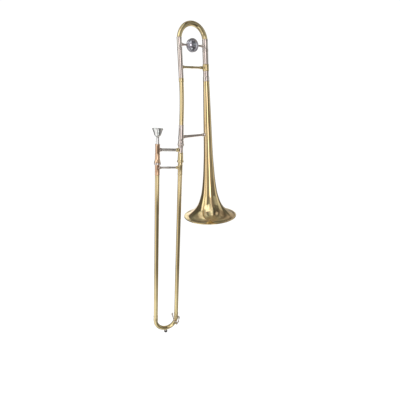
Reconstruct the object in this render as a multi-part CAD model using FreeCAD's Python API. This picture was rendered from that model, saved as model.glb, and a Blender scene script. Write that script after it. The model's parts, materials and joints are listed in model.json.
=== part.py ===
import FreeCAD, Part
import math
import os

# B flat tenor trombone with a large-bore slide, hanging from its bell with the slide down.
# All sizes are in millimetres. While the pieces are built, the axis shared by the neck and
# the slide is the Z axis, and z = 0 is the joint between the bell section and the slide
# section. At the end everything is moved so that the origin lies on the bell's axis, at the
# height in its throat where a stand's cone carries the instrument.

BELL_DIAMETER = 214.0        # nominal 8.5 inch bell
NECK_TO_BELL = 105.0         # neckpipe axis to bell axis
SLIDE_WIDTH = 86.0           # between the two slide tubes
BEND_HEIGHT = 172.5          # middle of the neckpipe's gentle bend, above the joint
BEND_ANGLE = 5.5             # leans the bell's mouth clear of the slide, degrees
SLIDE_TURN = 166.4           # slide's direction seen from above, bell direction is 0, degrees

# Heights in the bell section, measured from the bend along the leaning axis
RIM_LOW = -466.0             # bell rim
BOW_CENTRE_HIGH = 182.0      # where the tuning bow's half circle starts
TUNING_BRACE_HIGH = 167.0
UPPER_BRACE_HIGH = 96.5
LOWER_BRACE_HIGH = -139.0
SUPPORT_HIGH = RIM_LOW + 96.0

# Heights in the slide section, measured from the joint
HAND_BRACE_HIGH = -14.0
OUTER_BRACE_HIGH = -78.5
OUTER_TOP = -49.0            # upper ends of the outer slide tubes
CROOK_START = -708.0

BORE = 6.95                  # bore radius, .547 inch
INNER_TUBE_R = 7.45
STOCKING_R = 7.55
OUTER_TUBE_IN = 7.62
OUTER_TUBE_R = 8.05
NECK_R = 7.75
NECK_LEG_R = 7.70            # tuning slide leg on the neck side
BELL_LEG_R = 9.30            # tuning slide leg on the bell side
NECK_SLEEVE_R = 8.35
BELL_SLEEVE_R = 10.15
FIT = 0.05                   # radial clearance between pieces that move on each other

X = FreeCAD.Vector(1, 0, 0)
Y = FreeCAD.Vector(0, 1, 0)
Z = FreeCAD.Vector(0, 0, 1)


def vec(x, y, z):
    return FreeCAD.Vector(x, y, z)


def turned(points, axis_x=0.0):
    """Solid turned about a vertical axis from a closed outline of (radius, height) corners."""
    corners = [vec(r, 0, z) for r, z in points]
    outline = Part.makePolygon(corners + [corners[0]])
    solid = Part.Face(outline).revolve(vec(0, 0, 0), Z, 360)
    return solid.translate(vec(axis_x, 0, 0))


def tube(low, high, outer, inner, axis_x=0.0):
    return turned([(inner, low), (outer, low), (outer, high), (inner, high)], axis_x)


def rod_along_x(start, profile):
    """Solid turned about a line parallel to X from (radius, distance) corners."""
    points = [(0.0, profile[0][1])] + list(profile) + [(0.0, profile[-1][1])]
    solid = turned(points)
    solid.rotate(vec(0, 0, 0), Y, 90)
    return solid.translate(start)


def cylinder(start, direction, length, radius):
    return Part.makeCylinder(radius, length, start, direction)


def smooth_shell(profile, wall):
    """Thin spun shell: the outside follows a spline through (radius, height) points."""
    outer = Part.BSplineCurve()
    outer.interpolate([vec(r, 0, z) for r, z in profile])
    inner_points = []
    for index in range(len(profile)):
        tangent = outer.tangent(outer.parameter(vec(profile[index][0], 0, profile[index][1])))[0]
        side = vec(tangent.z, 0, -tangent.x)
        if side.x > 0:
            side = side.negative()
        inner_points.append(vec(profile[index][0], 0, profile[index][1]) + side * wall)
    inner = Part.BSplineCurve()
    inner.interpolate(inner_points)
    first = Part.makeLine(outer.StartPoint, inner.StartPoint)
    last = Part.makeLine(outer.EndPoint, inner.EndPoint)
    outline = Part.Wire(Part.__sortEdges__([outer.toShape(), last, inner.toShape(), first]))
    return Part.Face(outline).revolve(vec(0, 0, 0), Z, 360)


def ring_wire(centre, normal, radius):
    return Part.Wire(Part.makeCircle(radius, centre, normal))


def half_loop(centre, radius, ends, bore_ends):
    """Half circle of tube whose radius grows from the x = low end to the x = high end."""
    steps = 12
    solids = []
    for low_r, high_r in (ends, bore_ends):
        rings = []
        for step in range(steps + 1):
            angle = math.pi * step / steps
            place = centre + vec(-math.cos(angle), 0, math.sin(angle)) * radius
            along = vec(math.sin(angle), 0, math.cos(angle))
            rings.append(ring_wire(place, along, low_r + (high_r - low_r) * step / steps))
        solids.append(Part.makeLoft(rings, True, False))
    return solids[0].cut(solids[1])


def bent_tube(start, centre, angle, outer, inner):
    """Tube bent about an axis along Y, starting vertical; with inner = 0 it is a solid bar."""
    solids = []
    for radius in (outer, inner):
        if radius > 0:
            disc = Part.Face(ring_wire(start, Z, radius))
            solids.append(disc.revolve(centre, Y, angle))
    return solids[0].cut(solids[1:])


def swept(points, radius):
    """Round bar along a smooth curve through the points, with ball ends."""
    curve = Part.BSplineCurve()
    curve.interpolate(points)
    path = Part.Wire(curve.toShape())
    start = curve.tangent(curve.FirstParameter)[0]
    bar = path.makePipeShell([ring_wire(points[0], start, radius)], True, False)
    for end in (points[0], points[-1]):
        bar = bar.fuse(Part.makeSphere(radius, end))
    return bar.removeSplitter()


pieces = {}
bell_frame = FreeCAD.Placement(vec(0, 0, BEND_HEIGHT), FreeCAD.Rotation(Y, -BEND_ANGLE))
slide_frame = FreeCAD.Placement(vec(0, 0, 0), FreeCAD.Rotation(Z, SLIDE_TURN))
joint_frame = FreeCAD.Placement()


def add(name, shape, frame):
    placed = shape.copy()
    placed.Placement = frame.multiply(placed.Placement)
    pieces[name] = placed


# ---------------------------------------------------------------- bell and its brace work

BELL_WALL = 0.7
BEAD_R = 2.0
bell_heights = [
    (11.0, 524.0), (11.8, 495.0), (13.1, 445.0), (14.5, 385.0), (16.2, 310.0), (18.0, 247.0),
    (20.8, 200.0), (24.4, 152.0), (30.6, 103.0), (36.8, 77.0), (45.0, 53.0), (54.5, 36.0),
    (65.5, 23.5), (78.5, 13.0), (91.5, 5.5), (BELL_DIAMETER / 2 - BEAD_R, 1.2),
]
bell_profile = [(r, RIM_LOW + h) for r, h in bell_heights]
flare = smooth_shell(bell_profile, BELL_WALL)
bead_centre = vec(0, 0, RIM_LOW)
bead_ring = BELL_DIAMETER / 2 - BEAD_R
bead = Part.makeTorus(bead_ring, BEAD_R, bead_centre, Z)
wire_space = Part.makeTorus(bead_ring, BEAD_R - BELL_WALL, bead_centre, Z)
bell = flare.fuse(bead).cut(wire_space)
bell.translate(vec(NECK_TO_BELL, 0, 0))
add("bell", bell, bell_frame)

rim_wire = Part.makeTorus(bead_ring, BEAD_R - BELL_WALL, bead_centre, Z)
rim_wire.translate(vec(NECK_TO_BELL, 0, 0))
add("bell_rim_wire", rim_wire, bell_frame)

# Outer tubes that receive the tuning slide, each with a rolled lip at its mouth
SLEEVE_TOP = 153.5
neck_sleeve = turned([
    (NECK_LEG_R + FIT, 60.0), (NECK_SLEEVE_R, 60.0), (NECK_SLEEVE_R, SLEEVE_TOP - 3),
    (NECK_SLEEVE_R + 0.6, SLEEVE_TOP - 2.2), (NECK_SLEEVE_R + 0.6, SLEEVE_TOP - 0.6),
    (NECK_SLEEVE_R, SLEEVE_TOP), (NECK_LEG_R + FIT, SLEEVE_TOP)])
add("neck_tuning_sleeve", neck_sleeve, bell_frame)
neck_ferrule = turned([
    (NECK_R, 48.0), (NECK_R + 0.5, 48.0), (NECK_R + 1.3, 50.0), (NECK_R + 1.3, 58.0),
    (NECK_R + 0.9, 60.0), (NECK_R, 60.0)])

bell_sleeve = turned([
    (BELL_LEG_R + FIT, 58.2), (BELL_SLEEVE_R, 58.2), (BELL_SLEEVE_R, SLEEVE_TOP - 3),
    (BELL_SLEEVE_R + 0.6, SLEEVE_TOP - 2.2), (BELL_SLEEVE_R + 0.6, SLEEVE_TOP - 0.6),
    (BELL_SLEEVE_R, SLEEVE_TOP), (BELL_LEG_R + FIT, SLEEVE_TOP)], NECK_TO_BELL)
add("bell_tuning_sleeve", bell_sleeve, bell_frame)
bell_ferrule = turned([
    (10.6, 50.0), (11.9, 50.0), (12.1, 51.0), (11.9, 52.4), (11.5, 53.0), (11.4, 66.0),
    (11.0, 68.0), (BELL_SLEEVE_R, 68.0), (BELL_SLEEVE_R, 58.0), (10.6, 58.0)], NECK_TO_BELL)
add("bell_tuning_ferrule", bell_ferrule.cut(bell), bell_frame)

# Neckpipe: straight, a long gentle bend, straight again
bend_radius = 60.0 / math.tan(math.radians(BEND_ANGLE / 2))
bend_start = BEND_HEIGHT - 60.0
bend = bent_tube(vec(0, 0, bend_start), vec(-bend_radius, 0, bend_start), -BEND_ANGLE,
                 NECK_R, BORE)
NECKPIPE_FOOT = 22.0
lower_neck = tube(NECKPIPE_FOOT, bend_start, NECK_R, BORE)
upper_neck = tube(60.0, 76.0, NECK_R, BORE)
upper_neck.Placement = bell_frame
neckpipe = lower_neck.fuse([bend, upper_neck])
add("neckpipe", neckpipe, joint_frame)
neckpipe.Placement = bell_frame.inverse().multiply(neckpipe.Placement)
add("neck_tuning_ferrule", neck_ferrule.cut(neckpipe), bell_frame)

# Tenon: cone round the neckpipe's foot, a shoulder for the nut and a tapered plug
tenon_outside = [
    (8.4, 75.0), (8.8, 73.0), (9.9, 24.0), (9.4, 22.5), (8.66, 22.0), (8.66, 16.8),
    (9.6, 16.8), (9.6, 12.0)]
tenon = turned([(NECK_R, 75.0)] + tenon_outside + [
    (7.95, 12.0), (7.65, -24.0), (BORE, -24.0), (BORE, NECKPIPE_FOOT),
    (NECK_R, NECKPIPE_FOOT)])
add("neck_tenon", tenon, joint_frame)


def tube_joint(shape, radius, axis_x):
    """Trim a brace part so that it seats on a vertical tube."""
    return shape.cut(Part.makeCylinder(radius, 2000.0, vec(axis_x, 0, -1000.0), Z))


# Upper bell brace: plain rod with a foot on the neck side and a longer socket at the bell
upper_rod = rod_along_x(vec(0, 0, UPPER_BRACE_HIGH), [(3.8, 10.5), (3.8, 84.0)])
add("upper_bell_brace", upper_rod, bell_frame)
foot = rod_along_x(vec(0, 0, UPPER_BRACE_HIGH),
                   [(6.0, 7.0), (6.0, 9.6), (4.9, 10.8), (4.7, 14.0), (3.8, 15.0)])
foot = tube_joint(foot, NECK_SLEEVE_R, 0.0).cut(upper_rod)
add("upper_brace_neck_foot", foot, bell_frame)
socket = rod_along_x(vec(0, 0, UPPER_BRACE_HIGH), [
    (3.8, 78.0), (4.9, 79.2), (4.9, 90.0), (5.5, 91.2), (6.4, 92.2), (6.4, 96.0)])
collar = turned([
    (BELL_SLEEVE_R, 85.0), (10.8, 85.0), (11.2, 86.2), (11.2, 106.8), (10.8, 108.0),
    (BELL_SLEEVE_R, 108.0)], NECK_TO_BELL)
socket = tube_joint(socket, 10.8, NECK_TO_BELL).fuse(collar).cut(upper_rod)
add("upper_brace_bell_socket", socket, bell_frame)

# Lower bell brace: stouter bar, tapering towards the bell
neck_offset = LOWER_BRACE_HIGH * math.sin(math.radians(BEND_ANGLE))
lower_start = 9.0 + neck_offset
lower_rod = rod_along_x(vec(0, 0, LOWER_BRACE_HIGH), [
    (5.3, lower_start + 6), (5.1, lower_start + 14), (4.5, 50.0), (4.1, 84.0)])
add("lower_bell_brace", lower_rod, bell_frame)
neck_core = turned([(0.0, 75.0)] + tenon_outside + [(0.0, 12.0)])
neck_core.Placement = bell_frame.inverse()
lower_foot = rod_along_x(vec(0, 0, LOWER_BRACE_HIGH), [
    (6.4, lower_start - 4), (6.4, lower_start + 3.5), (5.8, lower_start + 5),
    (5.8, lower_start + 12), (5.2, lower_start + 13)])
add("lower_brace_neck_foot", lower_foot.cut(neck_core).cut(lower_rod), bell_frame)
lower_socket = rod_along_x(vec(0, 0, LOWER_BRACE_HIGH), [
    (4.2, 77.0), (5.4, 78.5), (5.4, 85.0), (6.4, 87.0), (7.6, 88.0), (7.6, 94.0)])
bell_core = cylinder(vec(NECK_TO_BELL, 0, LOWER_BRACE_HIGH - 20), Z, 40.0, 15.4)
add("lower_brace_bell_socket", lower_socket.cut(bell_core).cut(bell).cut(lower_rod), bell_frame)

# ---------------------------------------------------------------- tuning slide

BOW_R = NECK_TO_BELL / 2
bow_centre = vec(BOW_R, 0, BOW_CENTRE_HIGH)
BOW_WALL = 0.7
LEG_JOIN = 176.5
bow = half_loop(bow_centre, BOW_R, (NECK_LEG_R, BELL_LEG_R),
                (NECK_LEG_R - BOW_WALL, BELL_LEG_R - BOW_WALL))
neck_stub = tube(LEG_JOIN, BOW_CENTRE_HIGH, NECK_LEG_R, NECK_LEG_R - BOW_WALL)
bell_stub = tube(LEG_JOIN, BOW_CENTRE_HIGH, BELL_LEG_R, BELL_LEG_R - BOW_WALL, NECK_TO_BELL)
add("tuning_bow", bow.fuse([neck_stub, bell_stub]), bell_frame)

for side, leg_r, sleeve_r, foot_high, axis_x in (
        ("neck", NECK_LEG_R, NECK_SLEEVE_R, 82.0, 0.0),
        ("bell", BELL_LEG_R, BELL_SLEEVE_R, 80.0, NECK_TO_BELL)):
    add(side + "_side_tuning_leg",
        tube(foot_high, LEG_JOIN, leg_r, leg_r - BOW_WALL, axis_x), bell_frame)
    ferrule = turned([
        (leg_r, 154.2), (sleeve_r, 154.2), (sleeve_r + 0.5, 155.0), (sleeve_r + 0.5, 156.8),
        (sleeve_r, 157.6), (sleeve_r, 185.5), (sleeve_r + 0.3, 186.5), (sleeve_r + 0.3, 188.7),
        (leg_r + 0.35, 189.7), (leg_r + 0.35, BOW_CENTRE_HIGH), (leg_r, BOW_CENTRE_HIGH)],
        axis_x)
    add(side + "_side_bow_ferrule", ferrule.cut(bow), bell_frame)

brace_start = vec(0, 0, TUNING_BRACE_HIGH)
tuning_rod = rod_along_x(brace_start, [
    (6.2, 7.0), (6.2, 9.4), (4.6, 10.6), (4.3, 15.0), (3.2, 16.5), (3.2, 87.0), (4.3, 88.5),
    (4.6, 92.0), (6.2, 93.6), (6.2, 98.0)])
tuning_rod = tube_joint(tuning_rod, NECK_SLEEVE_R, 0.0)
tuning_rod = tube_joint(tuning_rod, BELL_SLEEVE_R, NECK_TO_BELL)
add("tuning_brace", tuning_rod, bell_frame)

# Counterweight: two domed halves clamped on the brace by a screw from behind
WEIGHT_R = 22.0
weight_x = BOW_R - 1.0
half_outline = [
    (0.0, 0.4), (WEIGHT_R - 1.2, 0.4), (WEIGHT_R, 1.6), (WEIGHT_R, 4.4), (WEIGHT_R - 0.8, 6.0),
    (WEIGHT_R - 2.4, 7.0), (WEIGHT_R - 4.0, 7.1), (WEIGHT_R - 4.8, 7.9), (15.0, 9.4),
    (12.0, 11.0), (9.0, 12.2), (6.0, 13.0), (3.0, 13.4), (0.0, 13.6)]
for side, turn in (("front", 90.0), ("back", -90.0)):
    half = turned(half_outline)
    half.rotate(vec(0, 0, 0), X, turn)
    half.translate(vec(weight_x, 0, brace_start.z))
    half = half.cut(tuning_rod)
    half = half.cut(cylinder(vec(weight_x, -8.0, brace_start.z + 9.0), Y, 30.0, 2.0))
    half = half.cut(cylinder(vec(weight_x, 7.0, brace_start.z + 9.0), Y, 20.0, 4.0))
    add("counterweight_" + side, half, bell_frame)
screw = cylinder(vec(weight_x, -7.9, brace_start.z + 9.0), Y, 14.9, 2.0)
screw = screw.fuse(cylinder(vec(weight_x, 7.0, brace_start.z + 9.0), Y, 3.0, 3.7))
slot = Part.makeBox(8.0, 2.0, 0.9, vec(weight_x - 4.0, 9.2, brace_start.z + 8.55))
add("counterweight_screw", screw.cut(slot).removeSplitter(), bell_frame)

# ---------------------------------------------------------------- lock nut and slide receiver

nut = turned([
    (8.72, 20.8), (9.7, 20.8), (9.9, 19.6), (10.3, 15.0), (10.9, 9.5), (11.6, 6.5),
    (11.9, 4.6), (11.9, 3.2), (11.2, 2.2), (9.68, 2.2), (9.68, 16.9), (8.72, 16.9)])
grooves = []
for step in range(24):
    angle = math.radians(15.0 * step)
    grooves.append(cylinder(vec(12.5 * math.cos(angle), 12.5 * math.sin(angle), 2.0), Z, 5.6, 0.95))
add("bell_lock_nut", nut.cut(grooves), joint_frame)

receiver = turned([
    (8.0, 11.9), (9.6, 11.9), (9.6, 0.5), (8.9, -0.5), (8.7, -2.0), (8.7, -36.0),
    (INNER_TUBE_R, -36.0), (INNER_TUBE_R, -26.0), (7.70, -25.0)])
add("slide_receiver", receiver, slide_frame)

# ---------------------------------------------------------------- inner slide

INNER_FOOT = -690.0
STOCKING_TOP = -565.0
add("neck_side_cork_barrel", turned([
    (8.7, -23.0), (9.1, -23.0), (9.4, -25.0), (10.3, -49.0), (10.5, -52.0), (11.6, -53.0),
    (12.2, -54.5), (12.2, -57.5), (11.6, -59.0), (8.6, -59.0), (8.6, -43.0), (8.7, -36.0)]),
    slide_frame)
add("mouthpiece_receiver", turned([
    (6.12, 6.0), (8.3, 6.0), (8.9, 5.2), (8.9, 1.4), (8.3, 0.4), (8.3, -33.0),
    (INNER_TUBE_R, -33.0), (INNER_TUBE_R, -27.0), (5.62, -27.0)], SLIDE_WIDTH), slide_frame)
add("mouthpiece_side_cork_barrel", turned([
    (8.3, -27.5), (8.7, -27.5), (8.9, -29.0), (9.2, -48.0), (9.6, -52.0), (11.4, -60.0),
    (9.6, -60.0), (9.6, -67.0), (8.6, -67.0), (8.6, -43.0), (8.3, -33.0)], SLIDE_WIDTH),
    slide_frame)
for side, top, axis_x in (("neck_side", -26.5, 0.0), ("mouthpiece_side", -27.5, SLIDE_WIDTH)):
    add(side + "_inner_tube", tube(STOCKING_TOP, top, INNER_TUBE_R, BORE, axis_x), slide_frame)
    add(side + "_stocking", turned([
        (BORE, INNER_FOOT), (STOCKING_R - 0.2, INNER_FOOT), (STOCKING_R, INNER_FOOT + 1.0),
        (STOCKING_R, STOCKING_TOP - 1.0), (INNER_TUBE_R, STOCKING_TOP), (BORE, STOCKING_TOP)],
        axis_x), slide_frame)
    add(side + "_cork", tube(OUTER_TOP + 0.3, -43.2, 8.55, INNER_TUBE_R, axis_x), slide_frame)
add("leadpipe", turned([
    (BORE - 0.02, -28.0), (BORE - 0.02, -240.0), (BORE - 0.25, -240.0), (6.2, -90.0),
    (6.0, -50.0), (5.7, -28.0)], SLIDE_WIDTH), slide_frame)

hand_start = vec(0, 0, HAND_BRACE_HIGH)
hand_rod = rod_along_x(hand_start, [(5.5, 14.0), (5.5, SLIDE_WIDTH - 12.5)])
add("upper_hand_brace", hand_rod, slide_frame)
neck_flange = rod_along_x(hand_start, [
    (8.2, 5.0), (8.2, 10.0), (7.0, 11.5), (6.4, 16.5), (5.5, 17.5)])
neck_flange = tube_joint(neck_flange, 8.7, 0.0)
add("hand_brace_neck_flange", neck_flange.cut(hand_rod), slide_frame)
mouth_flange = rod_along_x(hand_start, [
    (5.5, SLIDE_WIDTH - 15.5), (6.3, SLIDE_WIDTH - 14.5), (6.6, SLIDE_WIDTH - 11.0),
    (7.8, SLIDE_WIDTH - 9.8), (7.8, SLIDE_WIDTH - 5.0)])
mouth_flange = tube_joint(mouth_flange, 8.3, SLIDE_WIDTH)
add("hand_brace_mouthpiece_flange", mouth_flange.cut(hand_rod), slide_frame)

# Mouthpiece: deep round cup, throat, backbore and tapered shank
mouthpiece = turned([
    (12.8, 60.0), (13.4, 60.9), (15.2, 61.4), (17.2, 61.2), (18.6, 60.3), (19.3, 58.8),
    (19.2, 57.2), (18.2, 55.8), (16.6, 53.0), (14.6, 47.0), (13.0, 41.5), (11.4, 37.0),
    (9.0, 34.0), (6.6, 32.2), (5.4, 30.0), (5.2, 26.0), (5.6, 17.0), (6.0, 10.0), (6.05, 6.5),
    (5.56, -26.0), (5.1, -26.0), (4.2, 0.0), (3.3, 25.0), (3.2, 32.0), (3.7, 35.0),
    (6.4, 38.5), (9.0, 43.0), (11.0, 49.0), (12.3, 56.0)], SLIDE_WIDTH)
add("mouthpiece", mouthpiece, slide_frame)

# Slide lock: a knurled ring round the foot of the mouthpiece-side barrel. Its hook stands
# open here, and turning the ring back by LOCK_OPEN_TURN brings it under the slide's pin
LOCK_OPEN_TURN = 32.0
lock_ring = turned([
    (9.6 + FIT, -60.3), (11.6, -60.3), (12.2, -61.2), (12.2, -66.0), (11.4, -67.4),
    (9.6 + FIT, -67.4)], SLIDE_WIDTH)
hook = Part.makeBox(2.6, 2.4, 15.4, vec(SLIDE_WIDTH - 1.3, 10.2, -79.0))
hook_foot = Part.makeBox(7.8, 2.4, 2.0, vec(SLIDE_WIDTH - 1.3, 10.2, -79.0))
lock_grooves = []
for step in range(24):
    angle = math.radians(7.5 + 15.0 * step)
    lock_grooves.append(cylinder(vec(SLIDE_WIDTH + 12.6 * math.cos(angle),
                                     12.6 * math.sin(angle), -67.0), Z, 6.2, 0.8))
lock = lock_ring.cut(lock_grooves).fuse([hook, hook_foot])
lock.rotate(vec(SLIDE_WIDTH, 0, 0), Z, LOCK_OPEN_TURN)
add("slide_lock_ring", lock, slide_frame)

# ---------------------------------------------------------------- outer slide

for side, axis_x in (("neck_side", 0.0), ("mouthpiece_side", SLIDE_WIDTH)):
    add(side + "_outer_tube",
        tube(CROOK_START, OUTER_TOP - 0.3, OUTER_TUBE_R, OUTER_TUBE_IN, axis_x), slide_frame)
    sleeve = turned([
        (OUTER_TUBE_R, OUTER_TOP), (8.45, OUTER_TOP), (8.45, -67.6), (9.1, -68.6),
        (9.1, -70.4), (8.6, -71.4), (8.6, -105.0), (OUTER_TUBE_R, -106.0)], axis_x)
    if side == "mouthpiece_side":
        catch = cylinder(vec(axis_x + 4.6, 7.0, -75.6), Y, 5.4, 1.3)
        sleeve = sleeve.fuse(catch.cut(cylinder(vec(axis_x, 0, -90), Z, 30.0, 8.3)))
    add(side + "_top_sleeve", sleeve, slide_frame)
    add(side + "_crook_ferrule", turned([
        (OUTER_TUBE_R, -687.0), (8.5, -687.5), (8.75, -689.0), (8.75, -706.0), (8.5, -707.6),
        (OUTER_TUBE_R, -708.0)], axis_x), slide_frame)

outer_start = vec(0, 0, OUTER_BRACE_HIGH)
outer_rod = rod_along_x(outer_start, [(3.9, 12.0), (3.9, SLIDE_WIDTH - 11.5)])
add("lower_hand_brace", outer_rod, slide_frame)
outer_neck_flange = rod_along_x(outer_start, [
    (6.4, 5.0), (6.4, 9.6), (5.4, 10.6), (5.1, 15.0), (3.9, 16.0)])
outer_neck_flange = tube_joint(outer_neck_flange, 8.6, 0.0)
add("lower_brace_neck_flange", outer_neck_flange.cut(outer_rod), slide_frame)
outer_mouth_flange = rod_along_x(outer_start, [
    (3.9, SLIDE_WIDTH - 15.0), (4.7, SLIDE_WIDTH - 14.0), (4.9, SLIDE_WIDTH - 10.6),
    (5.6, SLIDE_WIDTH - 9.8), (5.6, SLIDE_WIDTH - 5.0)])
outer_mouth_flange = tube_joint(outer_mouth_flange, 8.6, SLIDE_WIDTH)
add("lower_brace_mouthpiece_flange", outer_mouth_flange.cut(outer_rod), slide_frame)

CROOK_R = SLIDE_WIDTH / 2
crook_centre = vec(CROOK_R, 0, CROOK_START)
crook_foot_start = vec(0, 0, CROOK_START)
crook = bent_tube(crook_foot_start, crook_centre, -180, OUTER_TUBE_R, INNER_TUBE_R)
crook_solid = bent_tube(crook_foot_start, crook_centre, -180, OUTER_TUBE_R, 0)


def crook_frame(angle):
    """Frame on the crook: X points outward, Y to the front, Z down along the tube."""
    outward = vec(-math.cos(math.radians(angle)), 0, -math.sin(math.radians(angle)))
    place = crook_centre + outward * CROOK_R
    rotation = FreeCAD.Rotation(outward, Y, outward.cross(Y), "XYZ")
    return FreeCAD.Placement(place, rotation)


# Water key: drain nipple on the outside of the bend, a saddle with two ears above it
NIPPLE_ANGLE = 34.0
SADDLE_ANGLE = 4.0
HINGE_OUT = 13.5
nipple_frame = crook_frame(NIPPLE_ANGLE)
saddle_frame = crook_frame(SADDLE_ANGLE)
drain = cylinder(vec(5.0, 0, 0), X, 8.0, 1.8)
drain.Placement = nipple_frame
crook = crook.cut(drain)
add("slide_crook", crook, slide_frame)

legs_solid = cylinder(vec(0, 0, CROOK_START), Z, 60.0, 8.75)


def seated(shape, frame):
    """Put a fitting on the crook and trim it to the outside of the tube."""
    fitting = shape.copy()
    fitting.Placement = frame
    return fitting.cut(crook_solid)


nipple = cylinder(vec(7.0, 0, 0), X, 4.5, 3.4).cut(cylinder(vec(6.0, 0, 0), X, 7.0, 1.8))
nipple_base = cylinder(vec(7.0, 0, 0), X, 2.0, 4.6).cut(cylinder(vec(6.0, 0, 0), X, 7.0, 1.8))
add("water_key_nipple", seated(nipple.fuse(nipple_base), nipple_frame), slide_frame)

saddle = Part.makeBox(2.6, 10.4, 8.0, vec(7.0, -5.2, -4.0))
for low in (-5.2, 4.0):
    ear = Part.makeBox(HINGE_OUT - 7.0, 1.2, 5.2, vec(7.0, low, -2.6))
    saddle = saddle.fuse([ear, cylinder(vec(HINGE_OUT, low, 0), Y, 1.2, 2.6)])
saddle = saddle.cut(cylinder(vec(HINGE_OUT, -6.0, 0), Y, 12.0, 1.0))
add("water_key_saddle", seated(saddle, saddle_frame).cut(legs_solid), slide_frame)

pivot_screw = cylinder(vec(HINGE_OUT, -5.8, 0), Y, 11.0, 1.0)
pivot_screw = pivot_screw.fuse(cylinder(vec(HINGE_OUT, 5.2, 0), Y, 1.4, 2.1))
pivot_screw = pivot_screw.cut(Part.makeBox(5.0, 1.0, 0.6, vec(HINGE_OUT - 2.5, 6.1, -0.3)))
pivot_screw.Placement = saddle_frame
add("water_key_pivot_screw", pivot_screw, slide_frame)

cork = cylinder(vec(11.5 + FIT, 0, 0), X, 2.2, 4.0)
cork.Placement = nipple_frame
add("water_key_cork", cork, slide_frame)

cup = cylinder(vec(12.6, 0, 0), X, 2.8, 5.2).cut(cylinder(vec(12.6, 0, 0), X, 1.2, 4.0))
cup = cup.fuse(Part.makeCone(5.2, 3.0, 1.0, vec(15.4, 0, 0), X))
cup.Placement = nipple_frame
hub = cylinder(vec(HINGE_OUT, -1.6, 0), Y, 5.4, 2.5)
hub.Placement = saddle_frame
hub_bore = cylinder(vec(HINGE_OUT, -6.0, 0), Y, 12.0, 1.0 + FIT)
hub_bore.Placement = saddle_frame
hub_middle = saddle_frame.multVec(vec(HINGE_OUT + 1.0, 1.0, 1.6))
cup_top = nipple_frame.multVec(vec(15.9, 0, 0))
arm_middle = (hub_middle + cup_top) * 0.5 + vec(-0.8, 1.2, -0.4)
cup_arm = swept([hub_middle, arm_middle, cup_top], 1.5)
finger_arm = swept([
    arm_middle, vec(-8.5, 9.5, -727.5), vec(-2.0, 12.6, -726.5), vec(5.5, 13.0, -721.5),
    vec(11.5, 12.6, -713.0), vec(16.0, 11.2, -700.0), vec(19.5, 8.5, -684.0)], 2.0)
touch = Part.makeSphere(3.8, vec(0, 0, 0))
stretch = FreeCAD.Matrix()
stretch.scale(0.8, 0.62, 2.0)
touch = touch.transformGeometry(stretch)
touch.translate(vec(19.3, 8.8, -686.0))
lever = hub.fuse([cup, cup_arm, finger_arm, touch]).cut([hub_bore, cork])
add("water_key_lever", lever, slide_frame)

# Torsion spring beside the hub, wound round the pivot screw
SPRING_WIRE = 0.3
coil_r = 1.5
helix = Part.makeHelix(0.65, 1.3, coil_r)
start_ring = ring_wire(vec(coil_r, 0, 0), Y, SPRING_WIRE)
coil = helix.makePipeShell([start_ring], True, True)
coil.rotate(vec(0, 0, 0), X, 90)
coil.translate(vec(HINGE_OUT, -2.1, 0))
coil.Placement = saddle_frame.multiply(coil.Placement)
add("water_key_spring", coil, slide_frame)

# Rubber bumper in a metal cup at the foot of the crook
crook_foot = CROOK_START - CROOK_R - OUTER_TUBE_R
cup_profile = turned([
    (0.0, crook_foot + 3.0), (4.6, crook_foot + 3.0), (4.6, crook_foot - 4.0),
    (3.9, crook_foot - 4.0), (3.9, crook_foot - 1.6), (0.0, crook_foot - 1.6)], CROOK_R)
add("bumper_cup", cup_profile.cut(crook_solid), slide_frame)
add("rubber_bumper", turned([
    (0.0, crook_foot - 1.6), (3.9, crook_foot - 1.6), (3.9, crook_foot - 4.2),
    (6.2, crook_foot - 4.2), (6.6, crook_foot - 5.2), (6.6, crook_foot - 9.0),
    (5.6, crook_foot - 11.0), (0.0, crook_foot - 11.0)], CROOK_R), slide_frame)

# ---------------------------------------------------------------- export

support = bell_frame.multVec(vec(NECK_TO_BELL, 0, SUPPORT_HIGH))
os.makedirs("parts", exist_ok=True)
for name, shape in pieces.items():
    shape.translate(support.negative())
    shape.exportStep("parts/" + name + ".step")
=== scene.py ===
import json
import math

import bmesh
import bpy
from mathutils import Matrix, Vector


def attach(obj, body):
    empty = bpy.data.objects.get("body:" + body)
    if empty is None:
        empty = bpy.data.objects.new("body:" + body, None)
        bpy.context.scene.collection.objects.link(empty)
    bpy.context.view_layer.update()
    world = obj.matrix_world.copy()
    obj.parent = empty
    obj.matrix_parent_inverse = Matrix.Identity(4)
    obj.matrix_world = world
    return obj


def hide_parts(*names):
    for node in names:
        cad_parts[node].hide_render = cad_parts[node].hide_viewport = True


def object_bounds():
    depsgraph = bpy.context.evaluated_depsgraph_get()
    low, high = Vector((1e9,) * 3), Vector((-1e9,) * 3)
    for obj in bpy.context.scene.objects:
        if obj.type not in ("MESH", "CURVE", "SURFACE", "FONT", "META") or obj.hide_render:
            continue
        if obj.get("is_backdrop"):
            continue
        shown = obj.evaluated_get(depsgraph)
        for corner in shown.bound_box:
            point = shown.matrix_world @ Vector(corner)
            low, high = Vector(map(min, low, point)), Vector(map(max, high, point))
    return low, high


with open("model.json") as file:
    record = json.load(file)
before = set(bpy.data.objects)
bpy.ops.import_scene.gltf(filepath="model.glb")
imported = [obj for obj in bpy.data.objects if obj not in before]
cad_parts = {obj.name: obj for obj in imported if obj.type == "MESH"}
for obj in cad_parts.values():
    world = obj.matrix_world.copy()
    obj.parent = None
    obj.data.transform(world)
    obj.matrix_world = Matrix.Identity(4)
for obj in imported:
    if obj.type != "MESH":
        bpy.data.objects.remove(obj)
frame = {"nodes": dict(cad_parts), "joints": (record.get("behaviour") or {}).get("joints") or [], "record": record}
cad_low, cad_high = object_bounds()
joints = {joint["name"]: joint for joint in frame["joints"]}
mounts = {mount["name"]: mount for mount in frame["record"]["mounts"]}

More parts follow.
